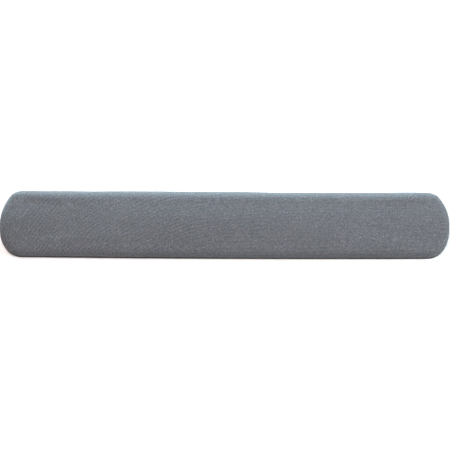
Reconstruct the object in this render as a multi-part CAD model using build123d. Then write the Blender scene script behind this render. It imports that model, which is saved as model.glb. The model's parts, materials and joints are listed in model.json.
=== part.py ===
from build123d import *
import math
import os

# Keyboard wrist rest: a long, low, crowned pad under a stretch-knit cover, on a thin rubber
# base. Millimetres, +Z up, origin at the middle of the flat underside. +Y is the keyboard
# side (back), with tighter corners; -Y is the user's side (front); +X is the user's right.
#
# From the bottom up: base sheet, bonding sheet with the cover's turned-under hem around it,
# hem tape, stiffener board, foam bed, then a gel pad between two films, all inside the cover.
# Every layer keeps the outer shape's arc centres, so its walls run parallel to the cover.

# ---- outer shape ----
LENGTH = 482.6          # overall, along X
DEPTH = 73.2            # overall, along Y
HEIGHT = 19.0           # overall, at the middle

END_R = 56.0            # each bowed end, seen from above
END_Y = -3.2            # where along Y the bowed end reaches furthest out
FRONT_CORNER_R = 21.5
BACK_CORNER_R = 15.0

CROWN_R = 205.0         # crown across the depth
DROP_START_X = 200.0    # beyond this distance from the middle the top falls towards the end
DROP_R = 200.0          # radius of that fall
DROP_ANGLE = 18         # degrees of fall, enough to pass the end of the pad
EDGE_R = 10.5           # rolls the top over into the side walls

# ---- layers ----
BASE_T = 2.5            # rubber base sheet
BASE_CHAMFER = 0.3      # bevel round the foot of the base sheet
COVER_T = 0.8           # knit cover
COVER_FOLD_R = 0.7      # outside radius where the cover turns under
HEM_W = 11.0            # width of the turned-under hem
BOND_GAP = 0.5          # between the hem's cut edge and the bonding sheet
TAPE_T = 0.15           # hem tape
TAPE_OUTER_INSET = 1.6  # tape's outer edge, in from the outside of the pad
TAPE_INNER_INSET = 10.4 # tape's inner edge, in from the outside of the pad
BOARD_T = 1.5           # stiffener board
FOAM_T = 5.0            # foam bed
FILM_T = 0.25           # each gel film
FIT = 0.05              # clearance between a layer and the one around it

FILLING_INSET = COVER_T + FIT   # side walls of everything that fills the cover

# ---- underside of each level ----
Z_HEM = BASE_T
Z_TAPE = Z_HEM + COVER_T
Z_BOARD = Z_TAPE + TAPE_T
Z_FOAM = Z_BOARD + BOARD_T
Z_FILM = Z_FOAM + FOAM_T
Z_GEL = Z_FILM + FILM_T

# ---- construction margins: these only keep cuts clear of the finished faces ----
SECTION_HALF_WIDTH = 60.0   # crown section, wider than the pad
SECTION_FLOOR = -6.0        # crown section, lower than the blank
BLANK_MARGIN = 4            # pad blank, beyond the base plane and HEIGHT
BOX_MARGIN = 20             # trimming box, beyond each side of the pad
CUT_MARGIN = 1              # cutters, beyond the layer they cut
HEM_CUT_MARGIN = 0.2        # hem opening, above the hem


def outline(inset):
    """Plan outline as a face at z = 0, moved in by inset all round."""
    end_x = LENGTH / 2 - END_R
    front_y = -DEPTH / 2 + FRONT_CORNER_R
    back_y = DEPTH / 2 - BACK_CORNER_R

    def corner_centre(radius, y):
        """Centre of a right-hand corner arc that runs smoothly into the bowed end."""
        return (end_x + math.sqrt((END_R - radius) ** 2 - (y - END_Y) ** 2), y)

    def angle_from_end(centre):
        return math.atan2(centre[1] - END_Y, centre[0] - end_x)

    def on_arc(centre, full_radius, angle):
        radius = full_radius - inset
        return (centre[0] + radius * math.cos(angle), centre[1] + radius * math.sin(angle))

    def flip(point):
        return (-point[0], point[1])

    front = corner_centre(FRONT_CORNER_R, front_y)
    back = corner_centre(BACK_CORNER_R, back_y)
    front_angle = angle_from_end(front)
    back_angle = angle_from_end(back)

    front_start = (front[0], -DEPTH / 2 + inset)
    front_mid = on_arc(front, FRONT_CORNER_R, (front_angle - math.pi / 2) / 2)
    front_end = on_arc(front, FRONT_CORNER_R, front_angle)
    bow_mid = on_arc((end_x, END_Y), END_R, (front_angle + back_angle) / 2)
    back_start = on_arc(back, BACK_CORNER_R, back_angle)
    back_mid = on_arc(back, BACK_CORNER_R, (back_angle + math.pi / 2) / 2)
    back_end = (back[0], DEPTH / 2 - inset)

    right_arcs = [
        (front_start, front_mid, front_end),
        (front_end, bow_mid, back_start),
        (back_start, back_mid, back_end),
    ]
    with BuildSketch() as sketch:
        with BuildLine():
            Line(flip(front_start), front_start)
            for start, middle, end in right_arcs:
                ThreePointArc(start, middle, end)
            Line(back_end, flip(back_end))
            for start, middle, end in reversed(right_arcs):
                ThreePointArc(flip(end), flip(middle), flip(start))
        make_face()
    return sketch.sketch.face()


def slab(inset, z_low, z_high):
    """Flat layer with the plan outline."""
    return Pos(0, 0, z_low) * extrude(outline(inset), z_high - z_low)


def crown_section(x, inset):
    """Cross-section at x of the space under the crown."""
    top = HEIGHT - inset
    radius = CROWN_R - inset
    wide, low = SECTION_HALF_WIDTH, SECTION_FLOOR
    edge_z = top - radius + math.sqrt(radius * radius - wide * wide)
    with BuildSketch(Plane(origin=(x, 0, 0), x_dir=(0, 1, 0), z_dir=(1, 0, 0))) as sketch:
        with BuildLine():
            Line((-wide, low), (wide, low))
            Line((wide, low), (wide, edge_z))
            ThreePointArc((wide, edge_z), (0, top), (-wide, edge_z))
            Line((-wide, edge_z), (-wide, low))
        make_face()
    return sketch.sketch.face()


def under_crown(inset):
    """Everything below the top surface: straight along the middle, falling at both ends."""
    middle = extrude(crown_section(-DROP_START_X, inset), 2 * DROP_START_X, dir=(1, 0, 0))
    drop_axis = Axis((DROP_START_X, 0, HEIGHT - DROP_R), (0, 1, 0))
    right = revolve(crown_section(DROP_START_X, inset), drop_axis, DROP_ANGLE)
    left = mirror(right, about=Plane.YZ)
    return middle + right + left


def top_rim(body):
    """Edges where one upward face meets one that is not: the rim of the top surface."""
    rim = []
    for edge in body.edges():
        touching = [f for f in body.faces() if any(edge.is_same(e) for e in f.edges())]
        upward = [f for f in touching if f.normal_at(f.center()).Z > 0.5]
        if len(upward) == 1 and len(touching) == 2:
            rim.append(edge)
    return rim


def pad(inset, z_low, z_high=HEIGHT + CUT_MARGIN):
    """Crowned pad shape moved in by inset, between two heights."""
    blank = slab(inset, -BLANK_MARGIN, HEIGHT + BLANK_MARGIN)
    body = (blank & under_crown(inset)).solid()
    body = fillet(top_rim(body), EDGE_R - inset).solid()
    box = Box(LENGTH + 2 * BOX_MARGIN, DEPTH + 2 * BOX_MARGIN, z_high - z_low)
    return (body & Pos(0, 0, (z_low + z_high) / 2) * box).solid()


def edges_at(shape, z):
    """Edges centred at height z."""
    return shape.edges().filter_by(lambda edge: abs(edge.center().Z - z) < 1e-6)


def base_sheet():
    sheet = slab(0, 0, BASE_T)
    return chamfer(edges_at(sheet, 0), BASE_CHAMFER)


def hem_tape():
    """Flat ring lying on the hem."""
    opening = slab(TAPE_INNER_INSET, Z_TAPE - CUT_MARGIN, Z_BOARD + CUT_MARGIN)
    return slab(TAPE_OUTER_INSET, Z_TAPE, Z_BOARD) - opening


def gel_film_upper():
    """Domed film over the gel pad, meeting the lower film at its rim."""
    hollow = pad(FILLING_INSET + FILM_T, Z_GEL - CUT_MARGIN)
    return pad(FILLING_INSET, Z_GEL) - hollow


def knit_cover():
    """Shell with a rounded fold at the foot and a hem turned under it."""
    outer = pad(0, Z_HEM)
    outer = fillet(edges_at(outer, Z_HEM), COVER_FOLD_R).solid()
    hem_opening = slab(HEM_W, Z_HEM - CUT_MARGIN, Z_TAPE + HEM_CUT_MARGIN)
    return outer - pad(COVER_T, Z_TAPE) - hem_opening


pieces = {
    "base_sheet": base_sheet(),
    "base_bond_sheet": slab(HEM_W + BOND_GAP, Z_HEM, Z_TAPE),
    "hem_tape": hem_tape(),
    "stiffener_board": pad(FILLING_INSET, Z_BOARD, Z_FOAM),
    "foam_bed": pad(FILLING_INSET, Z_FOAM, Z_FILM),
    "gel_film_lower": pad(FILLING_INSET, Z_FILM, Z_GEL),
    "gel_pad": pad(FILLING_INSET + FILM_T + FIT, Z_GEL + FIT),
    "gel_film_upper": gel_film_upper(),
    "knit_cover": knit_cover(),
}

os.makedirs("parts", exist_ok=True)
for name, shape in pieces.items():
    solids = shape.solids()
    part = solids[0] if len(solids) == 1 else Compound(children=list(solids))
    export_step(part, os.path.join("parts", name + ".step"))
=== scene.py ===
"""Keyboard wrist rest: a knit-covered gel pad on a rubber base sheet.

The rest lies flat on the floor plane z = 0, its length along x and its middle near the origin.
The user sits at -y, so the front is -y and the back +y. Every piece is built in millimetres
from one plan outline and one crown, bent by one warp, then turned into metres. A cloth
simulation swells the knit cover before its gathers and thickness are added. The knit's pattern
reads fabric coordinates stored on the mesh; the other patterns use object coordinates.
"""

import json
import math

import bpy
import numpy as np
from mathutils import Matrix, Vector, noise
from mathutils.geometry import delaunay_2d_cdt
from mathutils.kdtree import KDTree

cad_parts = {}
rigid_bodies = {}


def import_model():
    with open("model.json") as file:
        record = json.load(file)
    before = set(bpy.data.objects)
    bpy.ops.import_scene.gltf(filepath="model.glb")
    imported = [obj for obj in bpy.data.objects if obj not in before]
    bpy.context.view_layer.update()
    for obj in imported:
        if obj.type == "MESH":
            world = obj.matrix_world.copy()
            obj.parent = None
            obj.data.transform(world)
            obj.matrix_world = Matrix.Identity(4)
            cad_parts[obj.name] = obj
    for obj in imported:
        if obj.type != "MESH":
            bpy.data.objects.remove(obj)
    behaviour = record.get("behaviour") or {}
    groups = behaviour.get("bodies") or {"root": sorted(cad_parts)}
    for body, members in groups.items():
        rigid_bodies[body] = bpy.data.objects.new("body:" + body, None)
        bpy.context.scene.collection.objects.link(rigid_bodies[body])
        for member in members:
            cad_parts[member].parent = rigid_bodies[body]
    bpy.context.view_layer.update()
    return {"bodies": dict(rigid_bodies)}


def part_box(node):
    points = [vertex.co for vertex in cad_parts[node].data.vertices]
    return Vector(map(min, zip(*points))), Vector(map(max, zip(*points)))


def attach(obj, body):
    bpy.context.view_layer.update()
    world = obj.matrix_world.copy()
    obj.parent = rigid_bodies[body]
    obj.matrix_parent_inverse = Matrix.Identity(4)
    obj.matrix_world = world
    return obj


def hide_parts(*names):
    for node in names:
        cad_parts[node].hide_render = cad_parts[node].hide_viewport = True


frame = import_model()
scene = bpy.context.scene
BODY = sorted(frame["bodies"])[0]
MM = 0.001


# ---- sizes taken from the frame, in millimetres -----------------------------------------------
def box_mm(node):
    """The low and high corners of a CAD piece."""
    return [np.array(corner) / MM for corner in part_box(node)]


def bottom(node):
    return box_mm(node)[0][2]


COVER_LOW, COVER_HIGH = box_mm("knit_cover")
LENGTH = COVER_HIGH[0] - COVER_LOW[0]
DEPTH = COVER_HIGH[1] - COVER_LOW[1]
HEIGHT = COVER_HIGH[2]
BASE_T = box_mm("base_sheet")[1][2]
Z_TAPE = bottom("hem_tape")
Z_BOARD = bottom("stiffener_board")
Z_FOAM = bottom("foam_bed")
Z_FILM = bottom("gel_film_lower")
Z_GEL = bottom("gel_film_upper")

# ---- shape, in millimetres --------------------------------------------------------------------
END_R, END_Y = 56.0, -3.2  # the arc round each end, and the y of its centre
FRONT_R, BACK_R = 21.5, 15.0  # plan corners
FRONT_LEAST_R, BACK_LEAST_R = 9.0, 6.0  # what the corners ease towards when the outline moves in
CROWN_R = 205.0  # arch of the top across the depth
DROP_X, DROP_R = 200.0, 200.0  # beyond DROP_X the top falls along this radius
EDGE_R, FRONT_ROLL_R, END_ROLL_R = 12.0, 8.5, 8.5  # roll from wall to top: back, front, ends
BOW = 1.2  # lengthwise bend, middle towards the user
BULGE = 0.9  # how far the back stands out, left of the middle
FULL_END = 0.75  # how much fuller the right end is towards the back
INNERMOST = 20.0  # inset of the last ring before a cap

FOLD_R, PULL_IN = 1.0, 0.45  # the cover's bottom fold, and how far it is drawn in
HEM_W, SKIN = 11.0, 0.8  # the hem's width and the cover's thickness
Z_HEM = BASE_T + 0.04
Z_FOLD = Z_HEM + FOLD_R  # where the fold turns into the wall
WALL_RISE = 0.6  # the wall's pull-in ends this far above the start of the roll
SWELL_CAP = 1.2  # most relief kept from the simulation
RELIEF_KEEP = 0.45  # share of the simulated relief kept
GATHER = 1.15  # depth of the deepest gather round the corners

# points on each arc and straight of the outline
N_END, N_CORNER, N_LONG = 22, 20, 96
HALF = 2 * N_END + 2 * N_CORNER + N_LONG  # index of the right-hand end point in a ring
RING = 2 * HALF


# ---- the plan outline -------------------------------------------------------------------------
def at_least(value, floor, ease=0.8):
    """value, or floor where value is less, with an eased change between them."""
    over = value - floor
    return floor + 0.5 * (over + math.sqrt(over * over + 4 * ease * ease))


def arc(x, y, radius, start, end, count):
    """Points of an arc without its last one, and their outward normals."""
    turn = np.linspace(start, end, count + 1)[:-1]
    normal = np.c_[np.cos(turn), np.sin(turn)]
    return np.array([x, y]) + radius * normal, normal


def half_outline(inset, front):
    """Points and outward normals from the left end to the right end, round front or back."""
    side = -1.0 if front else 1.0
    half = DEPTH / 2 - inset
    radius, least = (FRONT_R, FRONT_LEAST_R) if front else (BACK_R, BACK_LEAST_R)
    end_r = END_R - inset
    corner_r = at_least(radius - inset, least)
    end_x = LENGTH / 2 - END_R
    corner_y = side * (half - corner_r)
    reach = (end_r - corner_r) ** 2 - (corner_y - END_Y) ** 2
    corner_x = end_x + math.sqrt(max(reach, 1e-6))
    meet = math.atan2(corner_y - END_Y, corner_x - end_x)

    ends = arc(end_x, END_Y, end_r, 0, meet, N_END)
    corners = arc(corner_x, corner_y, corner_r, meet, side * math.pi / 2, N_CORNER)
    x = np.linspace(-corner_x, corner_x, N_LONG + 1)
    long_side = np.c_[x, np.full(len(x), side * half)], np.tile([0.0, side], (len(x), 1))
    mirror = np.array([-1.0, 1.0])
    return [
        np.vstack([end * mirror, corner * mirror, straight, corner[::-1], end[::-1]])
        for end, corner, straight in zip(ends, corners, long_side)
    ]


def outline(inset):
    """A closed ring of points and normals: round the front left to right, then the back."""
    halves = zip(half_outline(inset, True), half_outline(inset, False))
    return [np.vstack([front, back[-2:0:-1]]) for front, back in halves]


def flat_ring(inset, z):
    """The outline moved in by inset, at height z (one number, or one for each point)."""
    return np.c_[outline(inset)[0], np.full(RING, z)]


# ---- the crown and its rolled edge ------------------------------------------------------------
def end_drop(plan):
    return np.maximum(np.abs(plan[:, 0]) - DROP_X, 0)


def crown(plan, inset=0.0):
    """Height of the top over plan points, for a pad moved in by inset."""
    arch, fall = CROWN_R - inset, DROP_R - inset
    past = end_drop(plan)
    return (HEIGHT - inset - (arch - np.sqrt(arch * arch - plan[:, 1] ** 2))
            - (fall - np.sqrt(fall**2 - past * past)))


def crown_slope(plan, inset=0.0):
    arch, fall = CROWN_R - inset, DROP_R - inset
    past = end_drop(plan)
    return np.c_[
        -np.sign(plan[:, 0]) * past / np.sqrt(fall**2 - past * past),
        -plan[:, 1] / np.sqrt(arch * arch - plan[:, 1] ** 2),
    ]


def endness(normal):
    """0 where the outline runs along the long sides, 1 round the ends."""
    share = np.clip((1 - np.abs(normal[:, 1])) / 0.35, 0, 1)
    return share * share * (3 - 2 * share)


class Rolled:
    """The rolled edge between the side wall and the crown, for a pad moved in by inset.

    A depth is how far points lie inside this pad's wall, one number for each ring point.
    """

    def __init__(self, inset):
        self.inset = inset
        self.normal = outline(inset)[1]
        side = np.where(self.normal[:, 1] < 0, FRONT_ROLL_R, EDGE_R)
        self.radius = side + (END_ROLL_R - side) * endness(self.normal) - inset
        # find the depth where the roll meets the crown at the crown's own slope
        depth = self.radius * 0.8
        for _ in range(5):
            plan = self.place(depth)
            fall = np.arctan(-(crown_slope(plan, inset) * self.normal).sum(1))
            depth = self.radius * (1 - np.sin(fall))
        self.touch = depth
        self.z_wall = crown(plan, inset) - self.radius * np.cos(fall)

    def place(self, depth):
        """Plan points at the given depths."""
        deepest = float(np.max(depth))
        points, normal = outline(self.inset + deepest)
        return points + normal * (deepest - depth)[:, None]

    def at(self, depth):
        """Surface points at a depth, which is one number or one for each point."""
        depth = np.full(RING, float(depth)) if np.ndim(depth) == 0 else depth
        plan = self.place(depth)
        across = self.radius - np.minimum(depth, self.radius)
        roll = self.z_wall + np.sqrt(np.maximum(self.radius**2 - across**2, 0))
        return np.c_[plan, np.where(depth < self.touch, roll, crown(plan, self.inset))]

    def turned_depth(self, degrees):
        return self.radius * (1 - math.cos(math.radians(degrees)))

    def turned(self, degrees):
        """Surface points where the roll has turned by degrees from the wall."""
        return self.at(self.turned_depth(degrees))


COVER_ROLL = Rolled(0.0)


def warp(points):
    """The slight bend of the whole rest, the same for every piece."""
    points = np.array(points, float)
    wide = np.interp(points[:, 0], (-150.0, -95.0, 5.0, 60.0), (0.0, 1.0, 1.0, 0.0))
    far = np.clip(points[:, 1] / (DEPTH / 2), 0, 1)
    bulge = BULGE * wide * wide * (3 - 2 * wide) * far * far
    points[:, 1] += bulge - BOW * (0.5 - (points[:, 0] / (LENGTH / 2)) ** 2)
    right_end = np.clip((points[:, 0] - 185) / 50, 0, 1)
    points[:, 0] += FULL_END * right_end**2 * np.clip(points[:, 1] / 16, -0.2, 1)
    return points


# ---- mesh building ----------------------------------------------------------------------------
class Builder:
    """Rings of points joined into quads, with filled caps."""

    def __init__(self):
        self.points, self.fabric, self.tags = [], [], []
        self.faces, self.loops = [], []

    def add(self, points, fabric=None, tag=0.0):
        start = len(self.points)
        self.points.extend(map(tuple, points))
        self.fabric.extend(map(tuple, points[:, :2] if fabric is None else fabric))
        self.tags.extend([tag] * len(points))
        return np.arange(start, start + len(points))

    def join(self, first, second, flip=False):
        """A band of quads between two rings."""
        for i in range(RING):
            j = (i + 1) % RING
            quad = (first[i], first[j], second[j], second[i])
            self.faces.append(quad[::-1] if flip else quad)

    def loop(self, points, fabric=None, tag=0.0, flip=False):
        ids = self.add(points, fabric, tag)
        if self.loops:
            self.join(self.loops[-1], ids, flip)
        self.loops.append(ids)

    def cap(self, height, rows=12, up=True, tag=0.0, spacing=2.4):
        """Fills the last loop; height(plan points) gives the z of the new points.

        The straight part gets quads in rows across the depth, each round end even triangles.
        """
        ids = self.loops[-1]
        rim = np.array([self.points[i] for i in ids])
        first = N_END + N_CORNER
        share = np.linspace(0, 1, rows + 1)[1:-1, None]
        grid = []
        for i in range(first, HALF - first + 1):
            middle = rim[i][None, :] * (1 - share) + rim[RING - i][None, :] * share
            middle[:, 2] = height(middle)
            grid.append([ids[i], *self.add(middle, tag=tag), ids[RING - i]])
        for here, there in zip(grid, grid[1:]):
            for k in range(rows):
                quad = (here[k], there[k], there[k + 1], here[k + 1])
                self.faces.append(quad if up else quad[::-1])
        for tip, way, row in ((0, 1, grid[0]), (HALF, -1, grid[-1])):
            edge = [ids[tip + way * k] for k in range(first, -first, -1)] + row[::-1][:-1]
            self.fill(edge, height, up, tag, spacing)

    def fill(self, edge, height, up, tag, spacing):
        """Fills one closed edge, given by vertex numbers, with even triangles."""
        rim = np.array([self.points[i][:2] for i in edge])
        after = np.roll(rim, -1, axis=0)
        if (rim[:, 0] * after[:, 1] - after[:, 0] * rim[:, 1]).sum() < 0:
            edge, rim = edge[::-1], rim[::-1]
        after = np.roll(rim, -1, axis=0)

        def inside(x, y):
            spans = (rim[:, 1] > y) != (after[:, 1] > y)
            run, rise = after[:, 0] - rim[:, 0], after[:, 1] - rim[:, 1]
            crossings = spans & (x < run * (y - rim[:, 1]) / (rise + 1e-12) + rim[:, 0])
            return crossings.sum() % 2 == 1

        low, high = rim.min(0), rim.max(0)
        dots = []
        for row, y in enumerate(np.arange(low[1], high[1], spacing * 0.87)):
            for x in np.arange(low[0] + (row % 2) * spacing / 2, high[0], spacing):
                dot = np.array([x, y])
                if inside(x, y) and np.linalg.norm(rim - dot, axis=1).min() > spacing * 0.55:
                    dots.append(dot)
        dots = np.array(dots)
        numbers = list(edge) + list(self.add(np.c_[dots, height(dots)], tag=tag))
        flat = [Vector(point) for point in np.vstack([rim, dots])]
        boundary = [list(range(len(edge)))]
        _, _, triangles, source, _, _ = delaunay_2d_cdt(flat, [], boundary, 1, 1e-7)
        for triangle in triangles:
            face = [numbers[source[i][0]] for i in triangle]
            self.faces.append(tuple(face if up else face[::-1]))

    def flat_cap(self, z, **options):
        self.cap(lambda plan: np.full(len(plan), z), **options)

    def underside(self, insets, z, place=flat_ring, **options):
        """A flat bottom that starts again from the first loop."""
        del self.loops[1:]
        for inset in insets:
            self.loop(place(inset, z), flip=True)
        self.flat_cap(z, up=False, **options)

    def make(self, name):
        """The warped mesh object, with fabric coordinates and the tag as an attribute."""
        mesh = bpy.data.meshes.new(name)
        points = warp(self.points) * MM
        faces = [tuple(int(i) for i in face) for face in self.faces]
        mesh.from_pydata([tuple(point) for point in points], [], faces)
        fabric = np.c_[np.array(self.fabric), np.array(self.tags)]
        stored = mesh.attributes.new("fabric", "FLOAT_VECTOR", "POINT")
        stored.data.foreach_set("vector", fabric.astype(np.float32).ravel())
        mesh.polygons.foreach_set("use_smooth", [True] * len(mesh.polygons))
        mesh.update()
        mesh.validate()
        return link(bpy.data.objects.new(name, mesh))


def link(ob):
    scene.collection.objects.link(ob)
    return ob


def read_vectors(items, field):
    values = np.zeros(len(items) * 3)
    items.foreach_get(field, values)
    return values.reshape(-1, 3)


def write_points(mesh, points):
    """Moves the vertices to points given in millimetres."""
    mesh.vertices.foreach_set("co", (points * MM).astype(np.float32).ravel())
    mesh.update()


def add_thickness(ob, thickness):
    solid = ob.modifiers.new("solid", "SOLIDIFY")
    solid.thickness = thickness * MM
    solid.offset = -1.0
    solid.use_even_offset = False


# ---- material nodes ---------------------------------------------------------------------------
class Nodes:
    """A short way to write node trees: values and sockets go in, sockets come out."""

    def __init__(self, name):
        self.material = bpy.data.materials.new(name)
        self.material.use_nodes = True
        self.tree = self.material.node_tree
        self.tree.nodes.clear()
        output = self.tree.nodes.new("ShaderNodeOutputMaterial")
        self.shader = self.tree.nodes.new("ShaderNodeBsdfPrincipled")
        self.tree.links.new(self.shader.outputs[0], output.inputs[0])

    def put(self, socket, value):
        if isinstance(value, bpy.types.NodeSocket):
            self.tree.links.new(value, socket)
            return
        if isinstance(value, tuple) and len(socket.default_value) == 4:
            value = (*value, 1.0)
        socket.default_value = value

    def node(self, kind, inputs=None, **settings):
        """Makes a node from {input name or number: value} and its settings."""
        made = self.tree.nodes.new(kind)
        for name, value in settings.items():
            setattr(made, name, value)
        for key, value in (inputs or {}).items():
            self.put(made.inputs[key], value)
        return made.outputs

    def calc(self, operation, *values, clamp=False):
        inputs = dict(enumerate(values))
        return self.node("ShaderNodeMath", inputs, operation=operation, use_clamp=clamp)[0]

    def add(self, a, b):
        return self.calc("ADD", a, b)

    def multiply(self, a, b):
        return self.calc("MULTIPLY", a, b)

    def multiply_add(self, value, factor, plus):
        return self.calc("MULTIPLY_ADD", value, factor, plus)

    def vary(self, base, by, amount):
        """base, plus amount times how far by is from a half."""
        return self.multiply_add(self.calc("SUBTRACT", by, 0.5), amount, base)

    def split(self, vector):
        return self.node("ShaderNodeSeparateXYZ", {0: vector})

    def join(self, x, y, z=0.0):
        return self.node("ShaderNodeCombineXYZ", {0: x, 1: y, 2: z})[0]

    def place(self):
        return self.node("ShaderNodeTexCoord")["Object"]

    def noise(self, vector, scale, detail=2.0, roughness=0.5, output="Fac"):
        inputs = {"Vector": vector, "Scale": scale, "Detail": detail, "Roughness": roughness}
        return self.node("ShaderNodeTexNoise", inputs)[output]

    def voronoi(self, vector, scale):
        return self.node("ShaderNodeTexVoronoi", {"Vector": vector, "Scale": scale})["Distance"]

    def mix(self, factor, a, b, blend="MIX"):
        """Colour mix."""
        inputs = {0: factor, 6: a, 7: b}
        return self.node("ShaderNodeMix", inputs, data_type="RGBA", blend_type=blend)[2]

    def remap(self, value, source, target=(0.0, 1.0), kind="LINEAR"):
        """Carries the source range over to the target range."""
        inputs = dict(enumerate((value, *source, *target)))
        return self.node("ShaderNodeMapRange", inputs, interpolation_type=kind)[0]

    def bump(self, height, strength, distance):
        inputs = {"Strength": strength, "Distance": distance * MM, "Height": height}
        return self.node("ShaderNodeBump", inputs)[0]

    def finish(self, **values):
        for name, value in values.items():
            self.put(self.shader.inputs[name.replace("_", " ")], value)
        return self.material


# ---- materials --------------------------------------------------------------------------------
WALE, COURSE = 1.05, 0.78  # width and height of one knit stitch, mm
STITCH_SLANT = 1.5  # courses that a stitch's legs climb in one wale of sideways run
FIGURE_TURN = 0.275  # the ripple's cycles per mm along x, FIGURE_RUN left of FIGURE_X
FIGURE_X, FIGURE_RUN = 30.0, 270.0  # right of FIGURE_X those cycles are none
FIGURE_ACROSS = (0.155, 0.252)  # the ripple's cycles per mm across, at the left and further right


def knit_figure(net, fabric, along, across):
    """A soft ripple, diagonal at the left end, that turns along the length."""
    # the phase is the integral of the turning slope, so the ripple stays even
    left = net.calc("MAXIMUM", net.calc("SUBTRACT", FIGURE_X, along), 0.0)
    phase = net.multiply(net.multiply(left, left), FIGURE_TURN / FIGURE_RUN / 2)
    wobble = net.noise(fabric, scale=0.03, detail=1.0)
    slope = net.remap(along, source=(-225.0, -50.0), target=FIGURE_ACROSS)
    phase = net.add(net.multiply_add(across, slope, phase), net.multiply(wobble, 2.2))
    ripple = net.calc("SINE", net.multiply(phase, 2 * math.pi))
    fade = net.remap(along, source=(-120.0, 120.0), target=(1.0, 0.45))
    blotch = net.noise(fabric, scale=0.05, detail=1.0)
    patch = net.remap(blotch, source=(0.35, 0.65), target=(0.45, 1.25))
    return net.multiply(net.multiply(ripple, fade), patch)


def knit_material():
    """Fine jersey knit of a mixed grey yarn: V stitches, a soft figure, flecks and sheen."""
    net = Nodes("knit_fabric")
    fabric = net.node("ShaderNodeAttribute", attribute_name="fabric")["Vector"]
    along, across, _ = net.split(fabric)
    # the yarn is never quite regular
    drift = net.noise(fabric, scale=0.045)
    loose_along = net.multiply_add(drift, factor=1.6, plus=along)
    jitter = net.noise(fabric, scale=0.55, detail=1.0)
    loose_across = net.multiply_add(jitter, factor=0.30, plus=across)

    wale = net.calc("DIVIDE", loose_along, WALE)
    # 0 at the wale's middle, 0.5 at its side
    off = net.calc("ABSOLUTE", net.calc("SUBTRACT", net.calc("FRACT", wale), 0.5))
    slant = net.multiply(off, STITCH_SLANT)
    row = net.add(net.calc("DIVIDE", loose_across, COURSE), slant)
    # each leg is highest in its middle, both across and along
    wide = net.calc("SINE", net.multiply(off, 2 * math.pi))
    tall = net.calc("SINE", net.multiply(net.calc("FRACT", row), math.pi))
    leg = net.multiply(
        net.calc("POWER", net.calc("MAXIMUM", wide, 0.0), 0.55),
        net.calc("POWER", net.calc("MAXIMUM", tall, 0.0), 0.7),
    )
    stitch = net.join(net.calc("FLOOR", wale), net.calc("FLOOR", row))
    random = net.node("ShaderNodeTexWhiteNoise", {"Vector": stitch})
    fleck, fleck_colour = random["Value"], random["Color"]
    # filaments inside each leg
    strand = net.add(net.multiply(off, 3.0), net.calc("FRACT", row))
    filament = net.calc("SINE", net.multiply(strand, 9.0))

    figure = knit_figure(net, fabric, along, across)
    grain = net.noise(fabric, scale=0.72, detail=0.0)
    grain_place = net.join(net.multiply(along, 0.85), across, 7.0)
    second_grain = net.noise(grain_place, scale=0.84, detail=0.0)
    broad = net.noise(fabric, scale=0.022)

    # brightness of the yarn, with a few paler stitches and the shade between the legs
    paler = net.calc("GREATER_THAN", fleck, 0.93)
    bright = net.vary(0.97, by=fleck, amount=0.30)
    bright = net.multiply_add(paler, factor=0.35, plus=bright)
    bright = net.vary(bright, by=grain, amount=0.46)
    bright = net.vary(bright, by=second_grain, amount=0.36)
    bright = net.multiply_add(figure, factor=0.10, plus=bright)
    bright = net.vary(bright, by=broad, amount=0.14)
    bright = net.multiply(bright, net.multiply_add(leg, factor=0.55, plus=0.62))
    hue_place = net.join(along, across, 3.0)
    hue = net.noise(hue_place, scale=0.42, detail=1.0, roughness=0.6, output="Color")
    colour = net.mix(0.12, (0.107, 0.110, 0.121), hue, blend="OVERLAY")
    colour = net.mix(0.06, colour, fleck_colour, blend="OVERLAY")
    colour = net.mix(1.0, colour, net.join(bright, bright, bright), blend="MULTIPLY")

    # relief in millimetres
    height = net.add(net.multiply(leg, 0.16), net.multiply(filament, 0.008))
    height = net.multiply_add(figure, factor=0.035, plus=height)
    height = net.multiply_add(grain, factor=0.10, plus=height)
    worn = net.multiply_add(grain, factor=0.5, plus=leg)
    return net.finish(
        Base_Color=colour,
        Roughness=net.remap(worn, source=(0.0, 1.4), target=(0.95, 0.78)),
        Normal=net.bump(height, strength=0.8, distance=1.0),
        Sheen_Weight=0.12,
        Sheen_Roughness=0.4,
        Sheen_Tint=(0.80, 0.90, 1.0),
        Specular_IOR_Level=0.3,
    )


def rubber_material():
    """Nearly black-brown, matt, finely pitted rubber, with a cross grain underneath."""
    net = Nodes("base_rubber")
    place = net.place()
    pits = net.voronoi(place, scale=1900.0)
    grain = net.noise(place, scale=900.0, detail=4.0, roughness=0.6)
    broad = net.noise(place, scale=30.0)
    x, y, z = net.split(place)
    per_metre = 2 * math.pi / (2.0 * MM)  # the cross grain repeats every 2 mm of x + y and x - y
    rising = net.calc("SINE", net.multiply(net.add(x, y), per_metre))
    falling = net.calc("SINE", net.multiply(net.calc("SUBTRACT", x, y), per_metre))
    weave = net.multiply(rising, falling)
    under = net.calc("LESS_THAN", z, 0.35 * MM)
    colour = net.mix(grain, (0.016, 0.0135, 0.012), (0.040, 0.034, 0.030))
    colour = net.mix(net.multiply(broad, 0.4), colour, (0.052, 0.046, 0.040))
    height = net.add(net.multiply(pits, -0.10), net.multiply(grain, 0.12))
    height = net.add(height, net.multiply(net.multiply(weave, under), 0.05))
    return net.finish(
        Base_Color=colour,
        Roughness=net.remap(grain, source=(0.2, 0.8), target=(0.72, 0.92)),
        Normal=net.bump(height, strength=0.7, distance=1.0),
        Specular_IOR_Level=0.35,
    )


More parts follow.
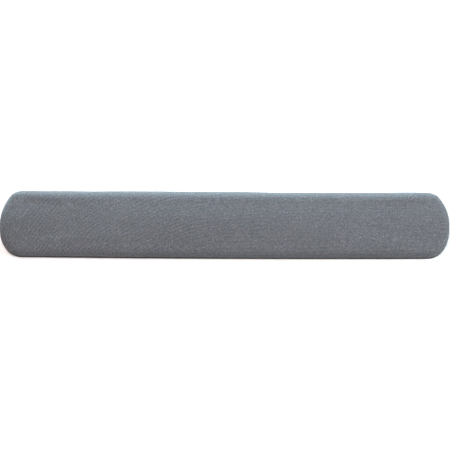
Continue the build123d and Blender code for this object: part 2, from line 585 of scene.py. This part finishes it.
def plain_material(name, low, high, scale, roughness, bump, stretch=1.0):
    """A grain between two tones with its own bump (mm); stretch scales it along x."""
    net = Nodes(name)
    x, y, z = net.split(net.place())
    place = net.join(net.multiply(x, stretch), net.multiply(y, 1.0), net.multiply(z, 1.0))
    grain = net.noise(place, scale=scale, detail=4.0, roughness=0.6)
    broad = net.noise(place, scale=scale * 0.05)
    colour = net.mix(grain, low, high)
    paler = tuple(0.8 * channel + 0.1 for channel in high)
    return net.finish(
        Base_Color=net.mix(net.multiply(broad, 0.3), colour, paler),
        Roughness=net.remap(grain, source=(0.2, 0.8), target=roughness),
        Normal=net.bump(grain, strength=0.6, distance=bump),
    )


def foam_material():
    """Open-cell foam: large and small cells, darker towards their middles as painted shade."""
    net = Nodes("open_cell_foam")
    place = net.place()
    large = net.voronoi(place, scale=1100.0)
    small = net.voronoi(place, scale=2600.0)
    tone = net.noise(place, scale=40.0, detail=3.0)
    cells = net.multiply(net.calc("POWER", large, 0.6), net.calc("POWER", small, 0.4))
    # painted shade: the colour darkens towards each cell's middle, where the bump dips
    cell_shade = net.calc("MULTIPLY", cells, 1.2, clamp=True)
    colour = net.mix(cell_shade, (0.09, 0.085, 0.08), (0.30, 0.29, 0.275))
    return net.finish(
        Base_Color=net.mix(net.multiply(tone, 0.25), colour, (0.36, 0.33, 0.27)),
        Roughness=0.95,
        Normal=net.bump(cells, strength=0.9, distance=0.5),
        Specular_IOR_Level=0.2,
    )


def gel_material():
    """Cloudy blue gel with pale bubbles."""
    net = Nodes("soft_gel")
    place = net.place()
    cloud = net.noise(place, scale=22.0, detail=3.0, roughness=0.55)
    bubble = net.calc("LESS_THAN", net.voronoi(place, scale=130.0), 0.12)
    colour = net.mix(cloud, (0.16, 0.30, 0.42), (0.34, 0.50, 0.62))
    wave = net.noise(place, scale=60.0)
    return net.finish(
        Base_Color=net.mix(net.multiply(bubble, 0.6), colour, (0.80, 0.88, 0.92)),
        Roughness=net.remap(cloud, source=(0.3, 0.7), target=(0.10, 0.22)),
        Normal=net.bump(wave, strength=0.3, distance=0.4),
        Subsurface_Weight=0.35,
        Subsurface_Radius=(0.004, 0.006, 0.008),
        Coat_Weight=0.3,
        Coat_Roughness=0.08,
    )


def film_material():
    """Pale, hazy film with creases drawn out along x."""
    net = Nodes("clear_film")
    place = net.place()
    haze = net.noise(place, scale=70.0, detail=3.0)
    x, y, z = net.split(place)
    drawn = net.join(net.multiply(x, 0.3), y, z)
    crease = net.noise(drawn, scale=160.0, detail=3.0, roughness=0.6)
    return net.finish(
        Base_Color=net.mix(haze, (0.50, 0.56, 0.60), (0.72, 0.76, 0.78)),
        Roughness=net.remap(haze, source=(0.3, 0.7), target=(0.18, 0.35)),
        Normal=net.bump(crease, strength=0.4, distance=0.3),
        Coat_Weight=0.4,
        Coat_Roughness=0.1,
    )


MATERIALS = {
    "cover_knit": knit_material(),
    "base_rubber": rubber_material(),
    "bond_foam": plain_material(
        "bonding_foam", low=(0.30, 0.30, 0.31), high=(0.52, 0.52, 0.53),
        scale=1500.0, roughness=(0.85, 0.97), bump=0.25),
    "tape": plain_material(
        "hem_tape", low=(0.55, 0.50, 0.38), high=(0.74, 0.69, 0.56),
        scale=500.0, roughness=(0.35, 0.6), bump=0.06, stretch=0.15),
    "board": plain_material(
        "stiff_board", low=(0.045, 0.046, 0.05), high=(0.085, 0.086, 0.09),
        scale=700.0, roughness=(0.42, 0.62), bump=0.08, stretch=0.3),
    "foam": foam_material(),
    "film": film_material(),
    "gel": gel_material(),
}


def finish_piece(ob, slot, node):
    ob.data.materials.append(MATERIALS[slot])
    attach(ob, BODY)
    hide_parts(node)


# ---- the knit cover ---------------------------------------------------------------------------
CLOTH = dict(
    quality=8, mass=0.15,
    tension_stiffness=18, compression_stiffness=18, shear_stiffness=8, bending_stiffness=1.5,
    tension_damping=12, compression_damping=12, shear_damping=12, air_damping=4,
    use_pressure=True, uniform_pressure_force=4.0,
    vertex_group_mass="held", pin_stiffness=2.0,
)
CLOTH_FRAMES = 20


def cover_skin():
    """The cover's outside as one open sheet, from the hem's cut edge over the top.

    Each point's tag is the number of its ring; the cap's is the number of rings, also returned.
    """
    path = [(inset, Z_HEM) for inset in (HEM_W, 8.0, 5.0, 2.9)]
    for degrees in (-90, -60, -30, 0):
        turn = math.radians(degrees)
        path.append((PULL_IN + FOLD_R - FOLD_R * math.cos(turn),
                     Z_FOLD + FOLD_R * math.sin(turn)))
    for share in (0.4, 0.8):
        wall = COVER_ROLL.z_wall + WALL_RISE - Z_FOLD
        path.append((PULL_IN * (1 - share) ** 2, Z_FOLD + wall * share))
    rings = [flat_ring(inset, z) for inset, z in path]
    rings += [COVER_ROLL.turned(degrees) for degrees in (14, 25, 36, 47, 58, 69, 80, 90)]
    first_top = len(rings) - 1
    rings += [COVER_ROLL.at(depth) for depth in np.linspace(EDGE_R, INNERMOST, 5)[1:]]

    # fabric coordinates: the plan position on top, unrolled outwards over the edge
    fabric = [points[:, :2].copy() for points in rings]
    run = np.zeros(RING)
    for i in range(first_top - 1, -1, -1):
        run = run + np.linalg.norm(rings[i] - rings[i + 1], axis=1)
        fabric[i] = rings[first_top][:, :2] + COVER_ROLL.normal * run[:, None]

    builder = Builder()
    for i, (points, flat) in enumerate(zip(rings, fabric)):
        builder.loop(points, flat, tag=float(i))
    builder.cap(crown, tag=float(len(rings)))
    return builder.make("knit_cover_skin"), len(rings)


def simulate(ob, pinned):
    """Swells the cover with air pressure while its hem is held; returns each point's move."""
    start = read_vectors(ob.data.vertices, "co")
    group = ob.vertex_groups.new(name="held")
    weights = np.round(pinned, 2)
    for weight in np.unique(weights):
        if weight > 0:
            held = [int(i) for i in np.nonzero(weights == weight)[0]]
            group.add(held, float(weight), "REPLACE")
    cloth = ob.modifiers.new("swell", "CLOTH")
    for name, value in CLOTH.items():
        setattr(cloth.settings, name, value)
    cloth.settings.effector_weights.gravity = 0
    cloth.collision_settings.use_collision = False
    cloth.collision_settings.use_self_collision = False
    cloth.point_cache.frame_start, cloth.point_cache.frame_end = 1, CLOTH_FRAMES
    scene.frame_start, scene.frame_end = 1, CLOTH_FRAMES
    for number in range(1, CLOTH_FRAMES + 1):
        scene.frame_set(number)
    graph = bpy.context.evaluated_depsgraph_get()
    swelled = read_vectors(ob.evaluated_get(graph).data.vertices, "co")
    ob.modifiers.remove(cloth)
    scene.frame_set(1)
    return (swelled - start) / MM


def neighbour_mean(mesh, values):
    edges = np.zeros(len(mesh.edges) * 2, np.int64)
    mesh.edges.foreach_get("vertices", edges)
    edges = edges.reshape(-1, 2)
    total = np.zeros_like(values)
    count = np.zeros(len(values))
    np.add.at(total, edges[:, 0], values[edges[:, 1]])
    np.add.at(total, edges[:, 1], values[edges[:, 0]])
    np.add.at(count, edges.ravel(), 1)
    return total / (count[:, None] if values.ndim > 1 else count)


def smooth_field(mesh, values, rounds, held):
    for _ in range(rounds):
        values = (values + neighbour_mean(mesh, values)) / 2
        values = values * (1 - held)
    return values


def fair(mesh, points, weight, rounds):
    """Evens out the surface where weight is above 0, and gives back the lost volume."""
    for _ in range(rounds):
        points = points + (neighbour_mean(mesh, points) - points) * weight[:, None]
        points = points - (neighbour_mean(mesh, points) - points) * weight[:, None] * 0.98
    return points


def cloth_relief(ob, points, normal, ring_id, top, pinned):
    """The simulated swell less what the straight middle swells, so the pad keeps its size."""
    out = (simulate(ob, pinned) * normal).sum(1)
    level = np.zeros(len(out))
    straight = np.abs(points[:, 0]) < 150
    for i in range(top):
        on = ring_id == i
        level[on] = out[on & straight].mean()
    on = ring_id == top
    fit = np.polyfit(points[on & straight, 1], out[on & straight], 4)
    level[on] = np.polyval(fit, points[on, 1])
    relief = smooth_field(ob.data, RELIEF_KEEP * (out - level), 12, pinned)
    return SWELL_CAP * np.tanh(relief / SWELL_CAP)


def add_fullness(relief, points, ring_id, top, pinned):
    """Adds the gel's unevenness, a proud shoulder and a fuller wall at the ends."""
    x, y = np.abs(points[:, 0]), points[:, 1]
    uneven = np.array([
        noise.noise(Vector((p[0] * 0.022, p[1] * 0.035, 3.7)))
        + 0.5 * noise.noise(Vector((p[0] * 0.06, p[1] * 0.07, 9.1)))
        for p in points
    ])
    relief = relief + 0.22 * uneven * (1 - pinned)
    # the shoulder stands proud, most at the back but less round the ends' back corners
    proud = np.interp(
        ring_id, (7, 9, 10, 12, 15, 17, 21), (0, 0.24, 0.38, 0.47, 0.52, 0.50, 0.22))
    inward = np.minimum((y / 16.6) ** 2 + np.clip((x - 203) / 18, 0, 1) ** 2, 1)
    proud *= np.where(ring_id == top, inward, 1.0) * (1 + 0.4 * np.clip(y / 30, 0, 1))
    back_corner = np.clip((x - 208) / 18, 0, 1) * np.clip(y / 16, 0, 1)
    relief = relief + proud * (1 - 0.65 * back_corner)
    # the wall stands out at the ends, most at their front
    wall = np.interp(ring_id, (7, 9, 11, 14), (0, 1, 1, 0))
    front = 0.15 + 0.3 * np.clip((-y - 4) / 12, 0, 1)
    return relief + front * wall * np.clip((x - 215) / 15, 0, 1)


def gather(points):
    """Presses gathers into the cover above the fold where the outline curves."""
    edge, normal = outline(0.0)
    step = np.linalg.norm(np.roll(edge, -1, axis=0) - edge, axis=1)
    turn = np.arccos(np.clip((normal * np.roll(normal, -1, axis=0)).sum(1), -1, 1))
    bend = turn / np.maximum(step, 1e-6)
    for _ in range(6):
        bend = 0.5 * bend + 0.25 * (np.roll(bend, 1) + np.roll(bend, -1))
    along = np.cumsum(step)
    total = along[-1]
    curved = np.clip(bend / 0.08, 0, 1) ** 0.6

    rng = np.random.default_rng(20740)
    pleats = []  # place along the edge, width, depth, upward reach, lean
    place = 0.0
    while place < total:
        pleats.append((place, rng.uniform(0.9, 1.7), rng.uniform(0.35, 1.0),
                       rng.uniform(2.4, 5.2), rng.uniform(-0.35, 0.35)))
        place += rng.uniform(3.6, 7.0)

    for ring in range(4, 15):
        ids = np.arange(ring * RING, (ring + 1) * RING)
        rise = np.maximum(points[ids, 2] - Z_FOLD, 0)
        depth = np.zeros(RING)
        for place, width, deep, reach, lean in pleats:
            gap = np.abs((along - place - lean * rise + total / 2) % total - total / 2)
            depth += deep * np.exp(
                -(gap / (width * (1 + 0.12 * rise))) ** 2 - (rise / reach) ** 2)
        # between the gathers the cover puffs out a little
        depth = np.minimum(depth, 0.95) - 0.30 * np.exp(-(rise / 4.0) ** 2)
        share = 1.0 if ring > 4 else 0.3
        points[ids, :2] -= normal * (GATHER * depth * curved * share)[:, None]


def shape_cover(ob, top):
    """Gives the cover its relief and gathers; returns a search tree and the relief's moves."""
    mesh = ob.data
    fabric = read_vectors(mesh.attributes["fabric"].data, "vector")
    ring_id = np.round(fabric[:, 2]).astype(int)
    points = read_vectors(mesh.vertices, "co") / MM
    normal = read_vectors(mesh.vertices, "normal")
    pinned = np.clip((9.0 - ring_id) / 3.0, 0, 1)
    relief = cloth_relief(ob, points, normal, ring_id, top, pinned)
    move = normal * add_fullness(relief, points, ring_id, top, pinned)[:, None]
    tree = KDTree(len(points))
    for i, point in enumerate(points):
        tree.insert(point, i)
    tree.balance()
    points = fair(mesh, points, np.clip((ring_id - 12) / 3.0, 0, 1) * 0.5, 6) + move
    gather(points)
    write_points(mesh, points)
    return tree, move


def thicken(ob, name):
    """One subdivision, then the cover's thickness: an inner face and a cut edge at the hem."""
    smoother = ob.modifiers.new("sub", "SUBSURF")
    smoother.levels = smoother.render_levels = 1
    add_thickness(ob, SKIN)
    bpy.context.view_layer.update()
    graph = bpy.context.evaluated_depsgraph_get()
    mesh = bpy.data.meshes.new_from_object(
        ob.evaluated_get(graph), preserve_all_data_layers=True, depsgraph=graph)
    mesh.name = name
    thick = link(bpy.data.objects.new(name, mesh))
    bpy.data.objects.remove(ob)
    return thick


skin, top_ring = cover_skin()
relief_tree, relief_move = shape_cover(skin, top_ring)
finish_piece(thicken(skin, "knit_cover_fabric"), "cover_knit", "knit_cover")


# ---- the rubber base sheet --------------------------------------------------------------------
# inset and height, from the underside's rim up to the top's rim
BASE_PROFILE = (
    (1.6, 0.0), (0.7, 0.0), (0.32, 0.1), (0.2, 0.35), (0.2, 1.2),
    (0.2, BASE_T - 0.35), (0.28, BASE_T - 0.12), (0.5, BASE_T),
)


def base_sheet():
    builder = Builder()
    for inset, z in BASE_PROFILE:
        builder.loop(flat_ring(inset, z))
    for inset in (3.0, 12.0, INNERMOST):
        builder.loop(flat_ring(inset, BASE_T))
    builder.flat_cap(BASE_T, rows=6, spacing=4.0)
    builder.underside((12.0, INNERMOST), 0.0, rows=6, spacing=4.0)
    finish_piece(builder.make("base_sheet_rubber"), "base_rubber", "base_sheet")


base_sheet()


# ---- the hidden layers ------------------------------------------------------------------------
def wall_inset(z, gap):
    """How far inside the cover's outline a layer stops at height z to clear it by gap."""
    top = float(COVER_ROLL.z_wall.mean()) + WALL_RISE
    share = np.clip((z - Z_FOLD) / (top - Z_FOLD), 0, 1)
    pulled = PULL_IN * (1 - share) ** 2
    radius = EDGE_R - SKIN - gap
    rise = max(z - COVER_ROLL.z_wall.min(), 0)
    rolled = EDGE_R - math.sqrt(max(radius * radius - rise**2, 0.0))
    return max(pulled + SKIN + gap, rolled)


def layer(name, slot, node, z_low, z_high, ease, gap=0.1, inset=None, waves=0.0, steps=5,
          hollow=None):
    """A closed flat layer with eased rims. Its edge follows the inside of the cover, or a
    fixed inset; hollow is the inset of its inner edge if it is only a band."""

    def side(z):
        return wall_inset(z, gap) if inset is None else inset

    def rim(z, way, angles):
        """The eased rim that ends at height z; way is 1 at the bottom, -1 at the top."""
        base = side(z_low) if way > 0 else side(z_high - ease)
        turns = [math.radians(angle) for angle in angles]
        return [(base + ease * (1 - math.sin(turn)), z + way * (ease * (1 - math.cos(turn))))
                for turn in turns]

    def place(distance, z):
        points, normal = outline(distance)
        if waves and distance < side(z) + 3:
            phase = np.arange(len(points)) * 0.37
            wave = 0.5 + 0.5 * np.sin(phase * 2.1) * np.sin(phase * 0.63 + 1)
            points = points - normal * (waves * wave)[:, None]
        return np.c_[points, np.full(RING, z)]

    ease = min(ease, (z_high - z_low) * 0.45)
    profile = rim(z_low, 1, (0, 30, 60, 90))
    profile += [(side(z), z) for z in np.linspace(z_low + ease, z_high - ease, steps)[1:-1]]
    profile += rim(z_high, -1, (90, 60, 30, 0))
    if hollow is not None:
        profile += [(hollow - 0.03, z_high), (hollow, (z_low + z_high) / 2),
                    (hollow - 0.03, z_low)]
    builder = Builder()
    for distance, z in profile:
        builder.loop(place(distance, z))
    if hollow is None:
        inner = [t for t in (6.0, 14.0, INNERMOST) if t > profile[-1][0] + 1]
        for distance in inner:
            builder.loop(place(distance, z_high))
        builder.flat_cap(z_high, rows=6, spacing=4.0)
        builder.underside(inner, z_low, place=place, rows=6, spacing=4.0)
    else:
        builder.join(builder.loops[-1], builder.loops[0])
    finish_piece(builder.make(name), slot, node)


def follow(ob, z_low):
    """Moves an inner layer with the cover's relief, which fades out towards z_low."""
    points = read_vectors(ob.data.vertices, "co") / MM
    for i, point in enumerate(points):
        near = relief_tree.find_n(Vector(point), 4)
        weight = np.array([1 / (distance + 0.3) for _, _, distance in near])
        moves = np.array([relief_move[j] for _, j, _ in near])
        shift = (moves * weight[:, None]).sum(0) / weight.sum()
        points[i] = point + shift * min(max((point[2] - z_low) / 2.5, 0.0), 1.0)
    write_points(ob.data, points)


def dome(name, inset, z_low, lip, closed):
    """A crowned layer under the cover above z_low, with an eased lip; closed adds a bottom."""
    roll = Rolled(inset)
    builder = Builder()
    for degrees in (0, 25, 50, 75):
        turn = math.radians(degrees)
        z = z_low + lip * (1 - math.cos(turn))
        rise = np.maximum(z - roll.z_wall, 0)
        depth = (lip * (1 - math.sin(turn)) + roll.radius
                 - np.sqrt(np.maximum(roll.radius**2 - rise**2, 0)))
        builder.loop(np.c_[roll.place(depth), np.full(RING, z)])
    # only the rings of the roll that lie clear of the lip
    for degrees in range(5, 95, 9):
        points = roll.turned(degrees)
        deeper = (roll.turned_depth(degrees) > depth + 0.08).all()
        if deeper and points[:, 2].min() > z + 0.25:
            builder.loop(points)
    for distance in np.linspace(EDGE_R - inset, INNERMOST - inset, 5)[1:]:
        builder.loop(roll.at(float(distance)))
    builder.cap(lambda plan: crown(plan, inset), rows=10)
    if closed:
        rim = np.array([builder.points[i][:2] for i in builder.loops[0]])
        start = float(np.mean(np.linalg.norm(rim - outline(0.0)[0], axis=1)))
        builder.underside((start + 4.0, start + 11.0, INNERMOST), z_low, rows=10)
    ob = builder.make(name)
    follow(ob, z_low)
    return ob


layer("base_bond_foam", "bond_foam", "base_bond_sheet",
      z_low=BASE_T + 0.04, z_high=Z_TAPE - 0.02, ease=0.2, inset=HEM_W + 0.5)
layer("hem_tape_ring", "tape", "hem_tape",
      z_low=Z_TAPE + 0.06, z_high=Z_BOARD, ease=0.04, inset=2.0, hollow=10.4)
layer("stiffener_board_sheet", "board", "stiffener_board",
      z_low=Z_BOARD + 0.02, z_high=Z_FOAM, ease=0.3, gap=0.6)
layer("foam_bed_slab", "foam", "foam_bed",
      z_low=Z_FOAM + 0.02, z_high=Z_FILM, ease=0.8, waves=0.25, steps=8)
layer("gel_film_sheet", "film", "gel_film_lower",
      z_low=Z_FILM + 0.02, z_high=Z_GEL, ease=0.08)
gel_pad = dome("gel_pad_body", inset=SKIN + 0.53, z_low=Z_GEL + 0.05, lip=1.2, closed=True)
finish_piece(gel_pad, "gel", "gel_pad")
upper_film = dome("gel_film_dome", inset=SKIN + 0.18, z_low=Z_GEL + 0.02, lip=0.1, closed=False)
add_thickness(upper_film, 0.25)
finish_piece(upper_film, "film", "gel_film_upper")


# ---- floor, light and camera, in metres -------------------------------------------------------
def floor_material():
    """Pale and matt; far out it glows, so that it stays pale beyond the lamps' reach."""
    net = Nodes("pale_floor")
    x, y, _ = net.split(net.place())
    away = net.calc("SQRT", net.add(net.multiply(x, x), net.multiply(y, y)))
    grit = net.noise(net.join(x, y), scale=60.0, detail=3.0)
    glow = net.remap(away, source=(0.42, 1.3), target=(0.0, 1.05), kind="SMOOTHSTEP")
    return net.finish(
        Base_Color=net.mix(grit, (0.91, 0.88, 0.86), (0.93, 0.90, 0.88)),
        Roughness=0.9,
        Specular_IOR_Level=0.1,
        Emission_Color=(1.0, 1.0, 1.0),
        Emission_Strength=glow,
    )


def add_floor():
    bpy.ops.mesh.primitive_plane_add(size=30.0, location=(0, 0, 0))
    floor = bpy.context.object
    floor.name = "studio_floor"
    floor.data.materials.append(floor_material())


def add_world():
    """A backdrop that looks white to the camera but hardly lights the rest."""
    unseen, seen = 0.03, 1.05  # strengths
    world = bpy.data.worlds.new("studio")
    scene.world = world
    world.use_nodes = True
    tree = world.node_tree
    background = tree.nodes["Background"]
    background.inputs["Color"].default_value = (1.0, 1.0, 1.0, 1.0)
    ray = tree.nodes.new("ShaderNodeLightPath")
    level = tree.nodes.new("ShaderNodeMapRange")
    level.inputs[3].default_value = unseen
    level.inputs[4].default_value = seen
    tree.links.new(ray.outputs["Is Camera Ray"], level.inputs[0])
    tree.links.new(level.outputs[0], background.inputs["Strength"])


def softbox(name, place, size, power, colour):
    """A rectangular lamp aimed at the origin."""
    data = bpy.data.lights.new(name, "AREA")
    data.shape = "RECTANGLE"
    data.size, data.size_y = size
    data.energy, data.color = power, colour
    ob = link(bpy.data.objects.new(name, data))
    ob.visible_camera = False
    ob.location = place
    ob.rotation_mode = "QUATERNION"
    aim = Vector((0, 0, 0)) - Vector(place)
    ob.rotation_quaternion = aim.to_track_quat("-Z", "Y")


def add_camera():
    """A long lens that looks down steeply from the user's side."""
    elevation, roll = math.radians(70.0), math.radians(-0.256)
    distance = 3.333
    fill = 0.9975  # share of the picture's width that the rest takes up
    sensor = 36.0
    # how far the aim lies right of and below the middle, as shares of the length
    aim_right, aim_down = 0.00075745, 0.00287385
    length = LENGTH * MM

    back = Vector((0, -math.cos(elevation), math.sin(elevation)))
    right = Vector((1, 0, 0))
    up = Vector((0, math.sin(elevation), math.cos(elevation)))
    aim = Vector((0, 0, 0.009)) + right * (aim_right * length) - up * (aim_down * length)
    data = bpy.data.cameras.new("camera")
    data.sensor_width = sensor
    data.lens = distance / length * sensor * fill
    data.clip_start, data.clip_end = 0.05, 50.0
    camera = link(bpy.data.objects.new("camera", data))
    rolled_up = up * math.cos(roll) + right * math.sin(roll)
    rolled_right = right * math.cos(roll) - up * math.sin(roll)
    columns = (rolled_right, rolled_up, back, aim + back * distance)
    camera.matrix_world = Matrix((*zip(*columns), (0, 0, 0, 1)))
    scene.camera = camera


add_floor()
add_world()
# two wide boxes light the top, and a low strip behind grazes the far edge
softbox("light_left", place=(-0.556, 0.0, 1.712), size=(0.9, 0.9), power=34.6,
        colour=(1.0, 0.93, 0.93))
softbox("light_right", place=(1.147, 0.0, 0.803), size=(0.78, 0.78), power=26.5,
        colour=(0.86, 0.955, 1.0))
softbox("light_back", place=(-0.30, 1.78, 0.07), size=(1.2, 0.13), power=112.0,
        colour=(0.66, 0.92, 1.0))
add_camera()
scene.view_settings.view_transform = "Standard"
scene.view_settings.look = "None"
